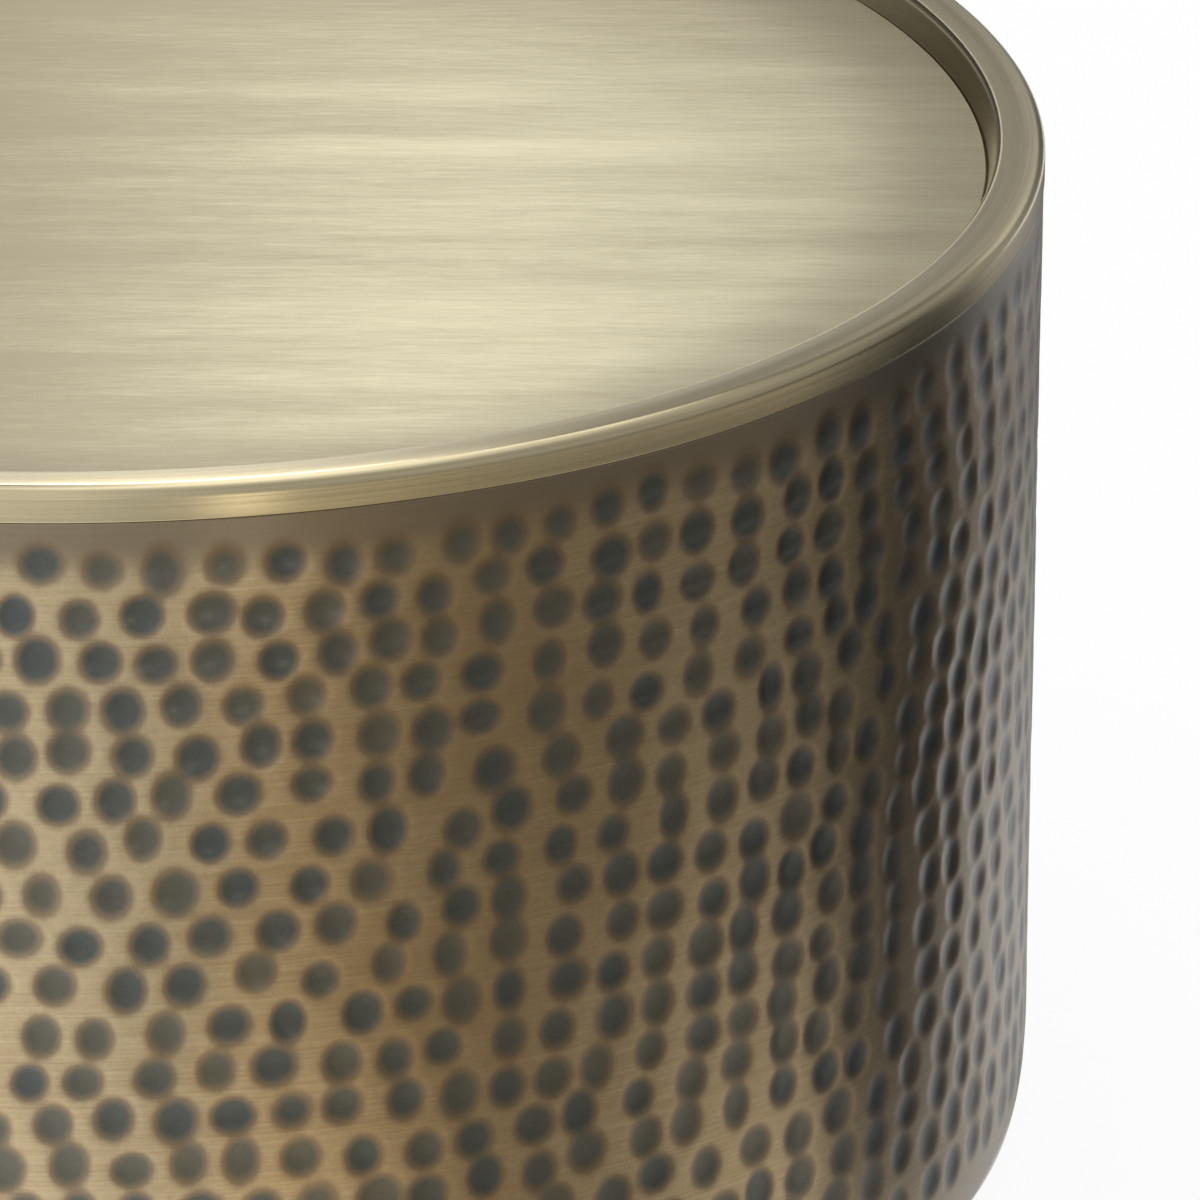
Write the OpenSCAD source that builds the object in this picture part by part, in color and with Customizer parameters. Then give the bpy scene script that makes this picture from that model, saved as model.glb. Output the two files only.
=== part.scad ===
// A round coffee table: a drum of hammered sheet metal with a shallow brushed tray on top.
// The origin is on the floor in the middle of the drum, with +Z up. Sizes are in millimetres.
// Hammer marks about 1 mm deep are surface texture, so the solids are smooth.

/* [Drum] */
// Outer diameter of the drum's side
drum_d = 762; // [600:1:920]
// Height of the side, from its lower edge to the seam under the rim
drum_h = 380; // [280:1:480]
// Thickness of the drum's sheet
drum_t = 1.2; // [0.8:0.1:2]
// How far the foot of the drum curves in
foot_in = 8.3; // [4:0.1:16]
// Height over which the foot curves in
foot_rise = 40.5; // [24:0.5:80]
// Width of the flat lip turned in at the foot
foot_lip = 12; // [6:0.5:18]

/* [Rim] */
// Thickness of the rim's sheet
rim_t = 1.5; // [1:0.1:2]
// How far the rim's skirt stands proud of the drum
rim_proud = 0.4; // [0:0.1:2]
// Height of the rim's crown above the seam
rim_h = 14.5; // [12:0.5:30]
// Width of the rim, from its skirt to the foot of its inner wall
rim_w = 22.1; // [18:0.1:40]
// How far the inner wall leans out on its way up
wall_lean = 4; // [1:0.1:6]
// How far the crown falls from its ridge to its outer shoulder
crown_fall = 0.8; // [0.2:0.1:2]
// Bend radius at the rim's outer shoulder
shoulder_bend = 5; // [2:0.5:8]
// Bend radius at the top of the inner wall
wall_bend = 3; // [2:0.5:5]
// Bend radius of the two edges that meet at the seam
seam_bend = 0.8; // [0.3:0.1:1.2]
// Width of the flat ledge that carries the tray panel's edge
ledge_w = 19; // [10:0.5:30]

/* [Tray] */
// Thickness of the tray panel
panel_t = 1.5; // [1:0.1:3]
// Thickness of the backing board
board_t = 12; // [10:0.5:25]

/* [Frame] */
// Height of the two hoops
hoop_h = 25; // [15:1:40]
// Thickness of the two hoops
hoop_t = 3; // [2:0.5:5]
// Width of the uprights' flat bar
bar_w = 30; // [20:1:40]
// Thickness of the uprights' flat bar
bar_t = 4; // [3:0.5:6]
// Length of the tab at the top of each upright
tab_l = 36; // [28:1:50]
// Outside bend radius at the top of each upright
tab_bend = 8; // [6:0.5:12]

/* [Glides] */
// Diameter of a floor glide
glide_d = 24; // [18:1:30]
// Height of the drum's lower edge above the floor
glide_h = 3; // [2:0.5:10]
// Chamfer round the glide's lower edge
glide_chamfer = 0.8; // [0.2:0.1:1.5]

/* [Screws] */
// Diameter of the screws in the backing board
board_screw_d = 4; // [3:0.5:5]
// How deep these screws go into the board
board_screw_in = 8; // [5:0.5:9]
// Diameter of the screws in the glides
glide_screw_d = 6; // [4:0.5:8]
// How far the glide screws reach past the upright's foot
glide_screw_out = 1.5; // [0:0.5:5]
// Thickness of plastic left under a glide screw's head
glide_web = 1.6; // [1:0.1:1.8]

/* [Fits] */
// Clearance between the tray panel and the rim's inner wall
panel_gap = 0.3; // [0.1:0.1:1]
// Clearance between the board and what stands round it
board_gap = 0.4; // [0.2:0.1:1]
// Clearance between pieces that seat against each other
seat_gap = 0.1; // [0.05:0.05:0.3]
// Clearance round a screw in a plain hole
screw_gap = 0.25; // [0.1:0.05:0.5]
// Clearance between the lips at the seam and the rim's inner wall
lip_gap = 6; // [2:0.5:8]

/* [Hidden] */
bars = 6;            // uprights, each with one glide
arc_steps = 8;       // straight steps in a bend of a sheet
foot_steps = 16;     // straight steps in the curve of the drum's foot
$fn = 96;

brass = "#b9ab84";
antique_brass = "#7d6647";
steel = "#55585c";
fibreboard = "#a98c63";
black_plastic = "#26262a";
zinc = "#b4b8bd";

// Heights above the floor
drum_z = glide_h;                        // lower edge of the drum
foot_z = drum_z + drum_t;                // top of the drum's foot lip
seam_z = drum_z + drum_h;                // seam between the drum and the rim
lip_z = seam_z - drum_t;                 // underside of the drum's top lip and the rim's ledge
ledge_z = lip_z + rim_t;                 // top of the ledge, and of the backing board
tray_z = ledge_z + panel_t;              // top of the tray panel
board_z = ledge_z - board_t;             // underside of the backing board
crown_z = seam_z + rim_h;                // ridge of the rim

// Distances from the drum's axis
drum_r = drum_d / 2;
rim_r = drum_r + rim_proud;
tray_r = rim_r - rim_w;                  // foot of the rim's inner wall
ledge_r = tray_r - ledge_w;              // inner edge of the ledge
lip_r = tray_r + rim_t + lip_gap;        // inner edge of the two lips at the seam
foot_r = drum_r - foot_in - foot_lip;    // inner edge of the foot's lip
inside_r = drum_r - drum_t;              // inner face of the drum's side
hoop_r = inside_r - seat_gap;            // outer face of the hoops
hoop_in_r = hoop_r - hoop_t;             // inner face of the hoops

// A flat bar's two edges meet the round hoop, so its middle lies a little further in
bar_x = sqrt(pow(hoop_in_r - seat_gap, 2) - pow(bar_w / 2, 2));
tab_x = bar_x - tab_l;
tab_screw_x = tab_x + tab_l / 3;
// The bar's lower bend stays inside the curve of the drum's foot
foot_bend = max(foot_in + bar_t + 2, foot_rise / 2);
glide_x = min(bar_x - foot_bend, foot_r) - glide_d / 2 - 1;
foot_x = glide_x - glide_d / 2 - 2;

board_head_d = 2 * board_screw_d;
board_head_h = 0.6 * board_screw_d;
glide_head_d = 1.7 * glide_screw_d;
glide_head_h = 0.3 * glide_screw_d;
glide_top = foot_z;                      // the glide reaches from the floor to the upright's foot

// Sheet-metal sections
// A path is a list of corners [distance from the axis, height, bend radius]. The sheet lies to
// the right of the path, and each bend is concentric on its two faces.

function point(c) = [c[0], c[1]];

// Direction from corner a to corner b, one unit long
function heading(a, b) = let (d = point(b) - point(a)) d / norm(d);

// The direction turned a quarter to the right
function right_of(d) = [d[1], -d[0]];

// Positive where the path turns left at its middle corner
function turn(a, b, c) = cross(heading(a, b), heading(b, c));

// Corner b of the path a, b, c moved to the right by t
function mitre(a, b, c, t) =
    let (m = right_of(heading(a, b)), n = right_of(heading(b, c)))
    point(b) + t * (m + n) / (1 + m * n);

// The other face of a sheet of thickness t
function far_face(path, t) =
    let (last = len(path) - 1)
    [for (i = [0:last])
        i == 0 ? concat(point(path[0]) + t * right_of(heading(path[0], path[1])), 0)
        : i == last ? concat(point(path[last]) + t * right_of(heading(path[last - 1], path[last])), 0)
        : let (far = mitre(path[i - 1], path[i], path[i + 1], t),
               grow = turn(path[i - 1], path[i], path[i + 1]) > 0 ? t : -t)
          concat(far, path[i][2] > 0 ? max(path[i][2] + grow, 0) : 0)];

// Points of a bend of radius r at corner b
function bend(a, b, c, r) =
    let (u = -heading(a, b), v = heading(b, c),
         half = acos(u * v) / 2,
         centre = point(b) + (u + v) / norm(u + v) * r / sin(half),
         from = point(b) + u * r / tan(half) - centre,
         sweep = sign(turn(a, b, c)) * (180 - 2 * half))
    [for (i = [0:arc_steps])
        let (angle = sweep * i / arc_steps)
        centre + [from[0] * cos(angle) - from[1] * sin(angle), from[0] * sin(angle) + from[1] * cos(angle)]];

// A path with its corners rounded, as plain points
function rounded(path) =
    [for (i = [0:len(path) - 1])
        each (i > 0 && i < len(path) - 1 && path[i][2] > 0
            ? bend(path[i - 1], path[i], path[i + 1], path[i][2])
            : [point(path[i])])];

function reversed(list) = [for (i = [len(list) - 1:-1:0]) list[i]];

module sheet_section(path, t) {
    polygon(concat(rounded(path), reversed(rounded(far_face(path, t)))));
}

// Tray and rim

module top_panel() {
    color(brass)
        translate([0, 0, ledge_z])
            cylinder(h = panel_t, r = tray_r - panel_gap);
}

// The board's edge drops by one sheet, so that the rim's ledge and the drum's lip lie on it
module backing_board() {
    edge_r = inside_r - board_gap;
    rebate_r = ledge_r - board_gap;
    color(fibreboard)
        difference() {
            rotate_extrude()
                polygon([[0, board_z], [edge_r, board_z], [edge_r, lip_z], [rebate_r, lip_z],
                    [rebate_r, ledge_z], [0, ledge_z]]);
            at_each_bar(tab_screw_x)
                translate([0, 0, board_z - 1])
                    cylinder(h = board_screw_in + 1, d = board_screw_d);
        }
}

// One spun sheet: ledge, leaning inner wall, crown, skirt, and an edge turned in on the seam
module rim_ring() {
    wall_top_r = tray_r + wall_lean;
    ridge_r = (wall_top_r + rim_r) / 2;
    ledge_bend = 0.3;
    ridge_bend = 40;
    path = [
        [ledge_r, ledge_z, 0],
        [tray_r, ledge_z, ledge_bend],
        [wall_top_r, crown_z - crown_fall / 2, wall_bend],
        [ridge_r, crown_z, ridge_bend],
        [rim_r, crown_z - crown_fall, shoulder_bend],
        [rim_r, seam_z, seam_bend],
        [lip_r, seam_z, 0]];
    color(brass)
        rotate_extrude()
            sheet_section(path, rim_t);
}

// Drum

// The side's outline: the top lip, the straight side, and a quarter of an ellipse at the foot
module drum_shell() {
    foot_curve = [for (i = [0:foot_steps])
        let (angle = 90 * i / foot_steps)
        [drum_r - foot_in * (1 - cos(angle)), drum_z + foot_rise * (1 - sin(angle)), 0]];
    path = concat([[lip_r, seam_z, 0], [drum_r, seam_z, seam_bend]], foot_curve,
        [[foot_r, drum_z, 0]]);
    color(antique_brass)
        rotate_extrude()
            sheet_section(path, drum_t);
}

// Frame

module hoop(z) {
    color(steel)
        translate([0, 0, z])
            difference() {
                cylinder(h = hoop_h, r = hoop_r);
                translate([0, 0, -1])
                    cylinder(h = hoop_h + 2, r = hoop_in_r);
            }
}

module top_hoop() { hoop(board_z - hoop_h); }

module base_hoop() { hoop(drum_z + foot_rise); }

// Places its children at distance x from the axis, once for each upright
module at_each_bar(x) {
    for (i = [1:bars])
        at_bar(i, x)
            children();
}

module at_bar(i, x) {
    rotate([0, 0, (i - 1) * 360 / bars])
        translate([x, 0, 0])
            children();
}

// A flat bar, bent in under the board and again over the drum's foot lip
module upright(i) {
    path = [
        [tab_x, board_z, 0],
        [bar_x, board_z, tab_bend],
        [bar_x, foot_z, foot_bend],
        [foot_x, foot_z, 0]];
    color(steel)
        difference() {
            at_bar(i, 0)
                rotate([90, 0, 0])
                    linear_extrude(height = bar_w, center = true)
                        sheet_section(path, bar_t);
            at_bar(i, tab_screw_x)
                translate([0, 0, board_z - bar_t - 1])
                    cylinder(h = bar_t + 2, d = board_screw_d + 2 * screw_gap);
            at_bar(i, glide_x)
                translate([0, 0, foot_z - 1])
                    cylinder(h = bar_t + 2, d = glide_screw_d);
        }
}

// Glides and screws

module floor_glide(i) {
    glide_r = glide_d / 2;
    color(black_plastic)
        at_bar(i, glide_x)
            difference() {
                rotate_extrude()
                    polygon([[0, 0], [glide_r - glide_chamfer, 0], [glide_r, glide_chamfer],
                        [glide_r, glide_top], [0, glide_top]]);
                translate([0, 0, -1])
                    cylinder(h = glide_top + 2, d = glide_screw_d + 2 * screw_gap);
                translate([0, 0, -1])
                    cylinder(h = glide_top - glide_web + 1, d = glide_head_d + 2 * screw_gap);
            }
}

// A screw that points up, with the top of its head at height 0 and a hexagon socket below
module screw(d, length, head_d, head_h) {
    socket_d = 0.55 * d;
    difference() {
        union() {
            cylinder(h = length, d = d);
            translate([0, 0, -head_h])
                cylinder(h = head_h, d = head_d);
        }
        translate([0, 0, -head_h - 1])
            cylinder(h = 1 + head_h / 2, d = socket_d, $fn = 6);
    }
}

module board_screws() {
    color(zinc)
        at_each_bar(tab_screw_x)
            translate([0, 0, board_z - bar_t])
                screw(board_screw_d, bar_t + board_screw_in, board_head_d, board_head_h);
}

module glide_screws() {
    color(zinc)
        at_each_bar(glide_x)
            translate([0, 0, glide_top - glide_web])
                screw(glide_screw_d, glide_web + bar_t + glide_screw_out, glide_head_d, glide_head_h);
}

top_panel();
backing_board();
rim_ring();
drum_shell();
top_hoop();
base_hoop();
for (i = [1:bars]) {
    upright(i);
    floor_glide(i);
}
board_screws();
glide_screws();
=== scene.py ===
# %% [markdown]
# A coffee table made as a drum: a rolled sheet of metal, hammered all over by hand and finished
# in antique brass, with a shallow round tray on top. The tray's flat sheet is brushed in straight
# lines and its rim is spun, so its brush lines run round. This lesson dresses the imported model:
# it keeps the hidden frame as it is and models the three skins again at the real sheet's detail.

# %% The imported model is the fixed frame
import math

import bpy
import numpy as np
from mathutils import Matrix, Vector


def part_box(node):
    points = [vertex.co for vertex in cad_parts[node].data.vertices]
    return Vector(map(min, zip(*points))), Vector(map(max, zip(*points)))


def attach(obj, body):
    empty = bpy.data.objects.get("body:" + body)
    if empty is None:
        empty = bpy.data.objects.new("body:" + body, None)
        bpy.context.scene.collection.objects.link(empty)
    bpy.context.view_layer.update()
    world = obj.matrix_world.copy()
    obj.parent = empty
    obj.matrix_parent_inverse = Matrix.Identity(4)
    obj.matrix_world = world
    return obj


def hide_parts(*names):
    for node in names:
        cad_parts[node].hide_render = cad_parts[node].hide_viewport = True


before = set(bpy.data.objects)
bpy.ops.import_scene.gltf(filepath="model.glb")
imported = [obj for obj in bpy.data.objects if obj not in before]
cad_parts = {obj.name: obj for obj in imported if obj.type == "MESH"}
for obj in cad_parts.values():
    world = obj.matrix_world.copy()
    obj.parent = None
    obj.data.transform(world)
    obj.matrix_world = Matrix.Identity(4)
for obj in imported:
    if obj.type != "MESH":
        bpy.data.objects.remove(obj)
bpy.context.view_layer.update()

print("nodes:", len(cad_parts))

# %% [markdown]
# Every size comes from the frame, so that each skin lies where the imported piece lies. The CAD
# source gives the sheet's thickness and bends, which the boxes don't say, and they are repeated.

# %% Sizes, in metres
MM = 0.001
drum_low, drum_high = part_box("drum_shell")
rim_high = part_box("rim_ring")[1]
panel_low, panel_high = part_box("top_panel")

DRUM_R = drum_high.x
SEAM_Z = drum_high.z
EDGE_Z = drum_low.z
RIM_R = rim_high.x
CROWN_Z = rim_high.z
TRAY_Z = panel_high.z
LEDGE_Z = panel_low.z
PANEL_R = panel_high.x

TRAY_GAP = 0.3 * MM
LIP_GAP = 6 * MM
DRUM_T = 1.2 * MM
FOOT_IN = 8.3 * MM
FOOT_RISE = 40.5 * MM
FOOT_LIP = 12 * MM
SEAM_BEND = 0.8 * MM
RIM_T = 1.5 * MM
TRAY_R = PANEL_R + TRAY_GAP
LIP_R = TRAY_R + RIM_T + LIP_GAP
print(f"drum {2000 * DRUM_R:.0f} mm across, seam {1000 * SEAM_Z:.1f} mm high, crown {1000 * CROWN_Z:.1f}")

# %% [markdown]
# The photograph was taken from far away with a long lens, from 20 degrees above the tray, and it
# shows the drum's right front quarter. Its round edges are ellipses, and a camera was fitted to
# them: that gives its place, its three angles and its lens. The table fills the picture's left.

# %% The camera
CAMERA_PLACE = Vector((0.0, -8.4925, 3.5594))
CAMERA_PITCH = math.radians(21.554)
CAMERA_YAW = math.radians(1.456)
CAMERA_ROLL = math.radians(0.829)
CAMERA_LENS = 720.0
CAMERA_FILM = 36.0
FARTHEST_SEEN = 100.0


def aim(pitch, yaw, roll):
    """The camera's turn: its axis points down by pitch and to the right by yaw, then it rolls."""
    forward = Vector((math.sin(yaw) * math.cos(pitch), math.cos(yaw) * math.cos(pitch), -math.sin(pitch)))
    level = Vector((math.cos(yaw), -math.sin(yaw), 0.0))
    upright = level.cross(forward)
    right = math.cos(roll) * level + math.sin(roll) * upright
    up = -math.sin(roll) * level + math.cos(roll) * upright
    return Matrix((right, up, -forward)).transposed().to_4x4()


camera = bpy.data.objects.new("camera", bpy.data.cameras.new("camera"))
bpy.context.scene.collection.objects.link(camera)
camera.data.lens = CAMERA_LENS
camera.data.sensor_width = CAMERA_FILM
camera.data.clip_end = FARTHEST_SEEN
camera.matrix_world = Matrix.Translation(CAMERA_PLACE) @ aim(CAMERA_PITCH, CAMERA_YAW, CAMERA_ROLL)
bpy.context.scene.camera = camera
bpy.context.scene.view_settings.view_transform = "Standard"
print(f"camera {CAMERA_PLACE.length:.1f} m away, {math.degrees(CAMERA_PITCH):.1f} degrees down")

# %% [markdown]
# A sheet-metal skin is a path, seen in section, that a sheet follows: corners with a bend radius.
# Rounding the corners gives one face of the sheet. The other face is the same path moved by the
# thickness, and the two faces joined at their ends make a closed section.

# %% Sections of bent sheet
ARC_STEP = math.radians(6)


def rounded(corners):
    """Points of a path of corners (r, z, bend). At each corner a circle of radius bend touches both
    of its straight lines, at bend / tan(half the corner's angle) from the corner."""
    points = [np.array(corners[0][:2])]
    for before, here, after in zip(corners, corners[1:], corners[2:]):
        corner, bend = np.array(here[:2]), here[2]
        back = np.array(before[:2]) - corner
        ahead = np.array(after[:2]) - corner
        back, ahead = back / np.linalg.norm(back), ahead / np.linalg.norm(ahead)
        half = math.acos(np.clip(back @ ahead, -1, 1)) / 2
        middle = (back + ahead) / np.linalg.norm(back + ahead)
        centre = corner + middle * bend / math.sin(half)
        start, end = corner + back * bend / math.tan(half), corner + ahead * bend / math.tan(half)
        a, b = math.atan2(*(start - centre)[::-1]), math.atan2(*(end - centre)[::-1])
        sweep = (b - a + math.pi) % (2 * math.pi) - math.pi
        angles = a + sweep * np.linspace(0, 1, max(2, 1 + math.ceil(abs(sweep) / ARC_STEP)))
        points.extend(centre + bend * np.stack([np.cos(angles), np.sin(angles)], 1))
    points.append(np.array(corners[-1][:2]))
    return np.array(points)


def spaced(points, step):
    """The same path with extra points, so that no stretch is longer than step."""
    lengths = np.linalg.norm(np.diff(points, axis=0), axis=1)
    counts = np.maximum(1, np.ceil(lengths / step)).astype(int)
    stretch = np.repeat(np.arange(len(counts)), counts)
    share = (np.arange(len(stretch)) - (np.cumsum(counts) - counts)[stretch]) / counts[stretch]
    along = points[stretch] + np.diff(points, axis=0)[stretch] * share[:, None]
    return np.concatenate([along, points[-1:]])


def left_normals(points):
    """Unit normals to the left of a path, from the mean direction of the stretches at each point."""
    step = np.diff(points, axis=0)
    step /= np.linalg.norm(step, axis=1, keepdims=True)
    mean = np.concatenate([step[:1], step[:-1] + step[1:], step[-1:]])
    mean /= np.linalg.norm(mean, axis=1, keepdims=True)
    return np.stack([-mean[:, 1], mean[:, 0]], 1)


print("points in a square bend:", len(rounded([(0, 0, 0), (20 * MM, 0, 5 * MM), (20 * MM, 20 * MM, 0)])))

# %% [markdown]
# All three skins are grids of points, so one function turns a grid into a mesh. A grid may close
# on itself in either direction. A piece keeps its place in its mesh and its object at the origin.

# %% A grid of points becomes a mesh piece


def grid_faces(rows, columns, wrap_rows=False, wrap_columns=False):
    """Quads of a grid whose point (i, j) has the index i * columns + j."""
    i, j = np.meshgrid(np.arange(rows if wrap_rows else rows - 1),
                       np.arange(columns if wrap_columns else columns - 1), indexing="ij")
    i, j = i.ravel(), j.ravel()
    below, right = (i + 1) % rows, (j + 1) % columns
    return np.stack([i * columns + j, below * columns + j, below * columns + right, i * columns + right], 1)


def new_object(name, points, *face_arrays):
    """An object from points (n, 3) and arrays of faces (m, k), each array with k corners a face."""
    corners = np.concatenate([faces.ravel() for faces in face_arrays])
    sizes = np.concatenate([np.full(len(faces), faces.shape[1]) for faces in face_arrays])
    mesh = bpy.data.meshes.new(name)
    mesh.vertices.add(len(points))
    mesh.vertices.foreach_set("co", points.astype(np.float32).ravel())
    mesh.loops.add(len(corners))
    mesh.loops.foreach_set("vertex_index", corners.astype(np.int32))
    mesh.polygons.add(len(sizes))
    mesh.polygons.foreach_set("loop_start", (np.cumsum(sizes) - sizes).astype(np.int32))
    mesh.polygons.foreach_set("loop_total", sizes.astype(np.int32))
    mesh.polygons.foreach_set("use_smooth", np.ones(len(sizes), dtype=bool))
    mesh.update(calc_edges=True)
    made = bpy.data.objects.new(name, mesh)
    bpy.context.scene.collection.objects.link(made)
    return made


def add_to_table(piece, node):
    """The piece moves with the table and stands in for the CAD node."""
    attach(piece, "root")
    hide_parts(node)
    triangles = len(piece.data.loops) - 2 * len(piece.data.polygons)
    print(f"{piece.name}: {triangles} triangles, rides on root in place of {node}")


def revolve(section, steps):
    """Points of a section (r, z) carried round the axis: (r cos a, r sin a, z), a row for each r."""
    angle = np.linspace(0, 2 * np.pi, steps, endpoint=False)[None, :]
    r, z = section[:, :1], section[:, 1:]
    return np.stack([r * np.cos(angle), r * np.sin(angle), z + 0 * angle], -1).reshape(-1, 3)


# %% [markdown]
# The rim is one spun sheet. From inside to outside it is a ledge under the tray, a wall that
# leans out, a softly domed crown, a shoulder, an upright skirt, and an edge tucked in on the
# seam. A revolve of its section is exact, and fine steps keep its long highlights clean. The
# crown's two sides drop less than a millimetre: that slight dome is what makes the light on it
# a soft band and not a flat patch.

# %% The rim
RIM_STEPS = 720
RIM_SPACING = 10 * MM
LEDGE_WIDE = 19 * MM
LEDGE_BEND = 0.3 * MM
WALL_LEAN = 4 * MM
WALL_DROP = 0.4 * MM
WALL_BEND = 3 * MM
CROWN_BEND = 40 * MM
SHOULDER_DROP = 0.8 * MM
SHOULDER_BEND = 5 * MM


def rim_section():
    """The closed section of the rim: its rounded path, then the path moved in by the thickness."""
    wall_top = TRAY_R + WALL_LEAN
    path = [(TRAY_R - LEDGE_WIDE, LEDGE_Z, 0),
            (TRAY_R, LEDGE_Z, LEDGE_BEND),
            (wall_top, CROWN_Z - WALL_DROP, WALL_BEND),
            ((wall_top + RIM_R) / 2, CROWN_Z, CROWN_BEND),
            (RIM_R, CROWN_Z - SHOULDER_DROP, SHOULDER_BEND),
            (RIM_R, SEAM_Z, SEAM_BEND),
            (LIP_R, SEAM_Z, 0)]
    seen = spaced(rounded(path), RIM_SPACING)
    hidden = seen - left_normals(seen) * RIM_T
    return np.concatenate([seen, hidden[::-1]])


section = rim_section()
rim = new_object("rim_ring_skin", revolve(section, RIM_STEPS),
                 grid_faces(len(section), RIM_STEPS, True, True))
add_to_table(rim, "rim_ring")

# %% [markdown]
# The tray is a flat disc with its edge just broken by a file. Its outline is carried round the
# axis, from inside over the edge and back, and one flat face closes the middle above and another
# below. Only the edge needs care, because it is the fine line where the tray meets the rim.

# %% The tray
TRAY_STEPS = 360
BROKEN_EDGE = 0.1 * MM
MIDDLE_R = PANEL_R / 3


def tray_section():
    """The disc's outline, from near its middle over the top and the broken edge and back below."""
    return rounded([(MIDDLE_R, TRAY_Z, 0), (PANEL_R, TRAY_Z, BROKEN_EDGE),
                    (PANEL_R, LEDGE_Z, BROKEN_EDGE), (MIDDLE_R, LEDGE_Z, 0)])


section = tray_section()
ring = np.arange(TRAY_STEPS)[None, :]
tray = new_object("top_panel_skin", revolve(section, TRAY_STEPS),
                  grid_faces(len(section), TRAY_STEPS, False, True), ring,
                  ring[:, ::-1] + (len(section) - 1) * TRAY_STEPS)
add_to_table(tray, "top_panel")

# %% [markdown]
# The drum's sheet is hammered by hand: about a hundred marks in each row, nineteen rows, none
# placed by a ruler. A hand keeps its rows and lets them wander. In some places it set each mark
# right under the last, so that the marks run in chains with a ridge between them. In others, on
# three sides of the drum, it set them in the gaps of the row above. So the marks start on a
# pattern of columns and rows, with a chance slip for each mark and each row.

# %% Where the hammer fell
rng = np.random.default_rng(41)
ROUND_DRUM = 2 * np.pi * DRUM_R
MARK_ROWS = 19
MARKS_IN_ROW = 103
MARK_GAP = ROUND_DRUM / MARKS_IN_ROW
FIRST_ROW = 21.0 * MM
ROW_GAP = 18.2 * MM
ROW_SLIP, SIDE_SLIP, DOWN_SLIP = 0.12, 0.09, 1.3 * MM
GAP_SIDES, GAP_PHASE = 3, math.radians(84)
GAP_LEVEL, GAP_CONTRAST, GAP_SHIFT = 0.4, 0.9, 0.25
CHAIN_WAVE, CHAIN_ROWS = 0.3, 11
ROW_WAVE, ROW_WAVES, ROW_ROWS = 1.5 * MM, 9, 7


def blows():
    """Each mark's row, its way round the drum and its depth down the side. To its column and row
    come a slip, a shift to one side or the other where it is set in a gap, and two slow waves:
    sin(3 turns round the drum + row / 11 turns) sideways, sin(9 turns + row / 7 turns) down."""
    row, column = np.divmod(np.arange(MARK_ROWS * MARKS_IN_ROW), MARKS_IN_ROW)
    slip = ROW_SLIP * rng.standard_normal(MARK_ROWS)[row]
    way = (column + slip + SIDE_SLIP * rng.standard_normal(len(row))) * MARK_GAP
    turn = 2 * np.pi * way / ROUND_DRUM
    in_gap = np.clip(GAP_LEVEL + GAP_CONTRAST * np.cos(GAP_SIDES * turn - GAP_PHASE), 0, 1)
    way += GAP_SHIFT * MARK_GAP * in_gap * np.where(row % 2 == 0, 1, -1)
    way += CHAIN_WAVE * MARK_GAP * np.sin(GAP_SIDES * turn + 2 * np.pi * row / CHAIN_ROWS)
    down = FIRST_ROW + row * ROW_GAP + DOWN_SLIP * rng.standard_normal(len(row))
    down += ROW_WAVE * np.sin(2 * np.pi * (ROW_WAVES * way / ROUND_DRUM + row / ROW_ROWS))
    return row, way, down


mark_row, mark_way, mark_down = blows()
print(f"{len(mark_row)} marks, {1000 * MARK_GAP:.1f} mm apart in a row, rows {1000 * ROW_GAP:.1f} mm apart")

# %% [markdown]
# A hand also steers clear of the last mark. So marks that lie too close push each other apart,
# sideways sooner than down the chain, and a few rounds of that are enough.

# %% Marks that lie too close push apart
MARK_SPACE = 16.4 * MM
SIDEWAYS = 0.84
PUSHES = 5
PUSH_SHARE = 0.22


def pushed_apart(way, down):
    """The places after a few rounds in which any two marks nearer than MARK_SPACE push each other
    off by a share of what is missing. A distance is hypot(SIDEWAYS * across, along)."""
    itself = np.eye(len(way))
    for _ in range(PUSHES):
        across = (way[:, None] - way[None, :] + ROUND_DRUM / 2) % ROUND_DRUM - ROUND_DRUM / 2
        along = down[:, None] - down[None, :]
        apart = np.hypot(SIDEWAYS * across, along) + itself
        push = np.clip(MARK_SPACE - apart, 0, None) * (1 - itself) / apart
        way = way + PUSH_SHARE * (push * across).sum(1)
        down = down + PUSH_SHARE * (push * along).sum(1)
    return way, down


pushed_way, pushed_down = pushed_apart(mark_way, mark_down)
print(f"the marks moved down by up to {1000 * np.abs(pushed_down - mark_down).max():.1f} mm")

# %% [markdown]
# No two blows are alike, so each mark has a force and a tone of its own, and its own reach from
# its middle to the end of its soft edge. The marks are a little taller than wide, and those of
# the top row, near the bend, are shallower.

# %% Each mark's size, force and tone
MARK_REACH = 11.2 * MM
MARK_SHAPE = np.array([[0.97], [1.05]])
SIZE_SPREAD, FORCE_SPREAD = 0.07, 0.10
FORCE_RANGE = (0.7, 1.2)
TOP_ROW_FORCE = 0.8


def mark_looks(row):
    """Arrays of each mark's reach sideways and down, its force and its tone: a middle value times
    (1 + a spread), the force kept within its range, the tone anything from 0 to 1."""
    wide, tall = MARK_SHAPE * MARK_REACH * (1 + SIZE_SPREAD * rng.standard_normal((2, len(row))))
    force = np.clip(1 + FORCE_SPREAD * rng.standard_normal(len(row)), *FORCE_RANGE)
    force *= np.where(row == 0, TOP_ROW_FORCE, 1.0)
    return wide, tall, force, rng.uniform(0, 1, len(row))


marks = (pushed_way, pushed_down, *mark_looks(mark_row))
print(f"a mark is about {2000 * marks[2].mean():.0f} mm across with its soft edge")

# %% [markdown]
# Each mark is a shallow bowl that fades out on the web between the marks, and where two bowls
# meet they run together. The marks are real dents, not a bump in the material, because they
# show on the drum's outline and bend its reflections. Every mark only reaches the few grid points
# round it, so the loop over the marks touches small patches of the whole grid.

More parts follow.
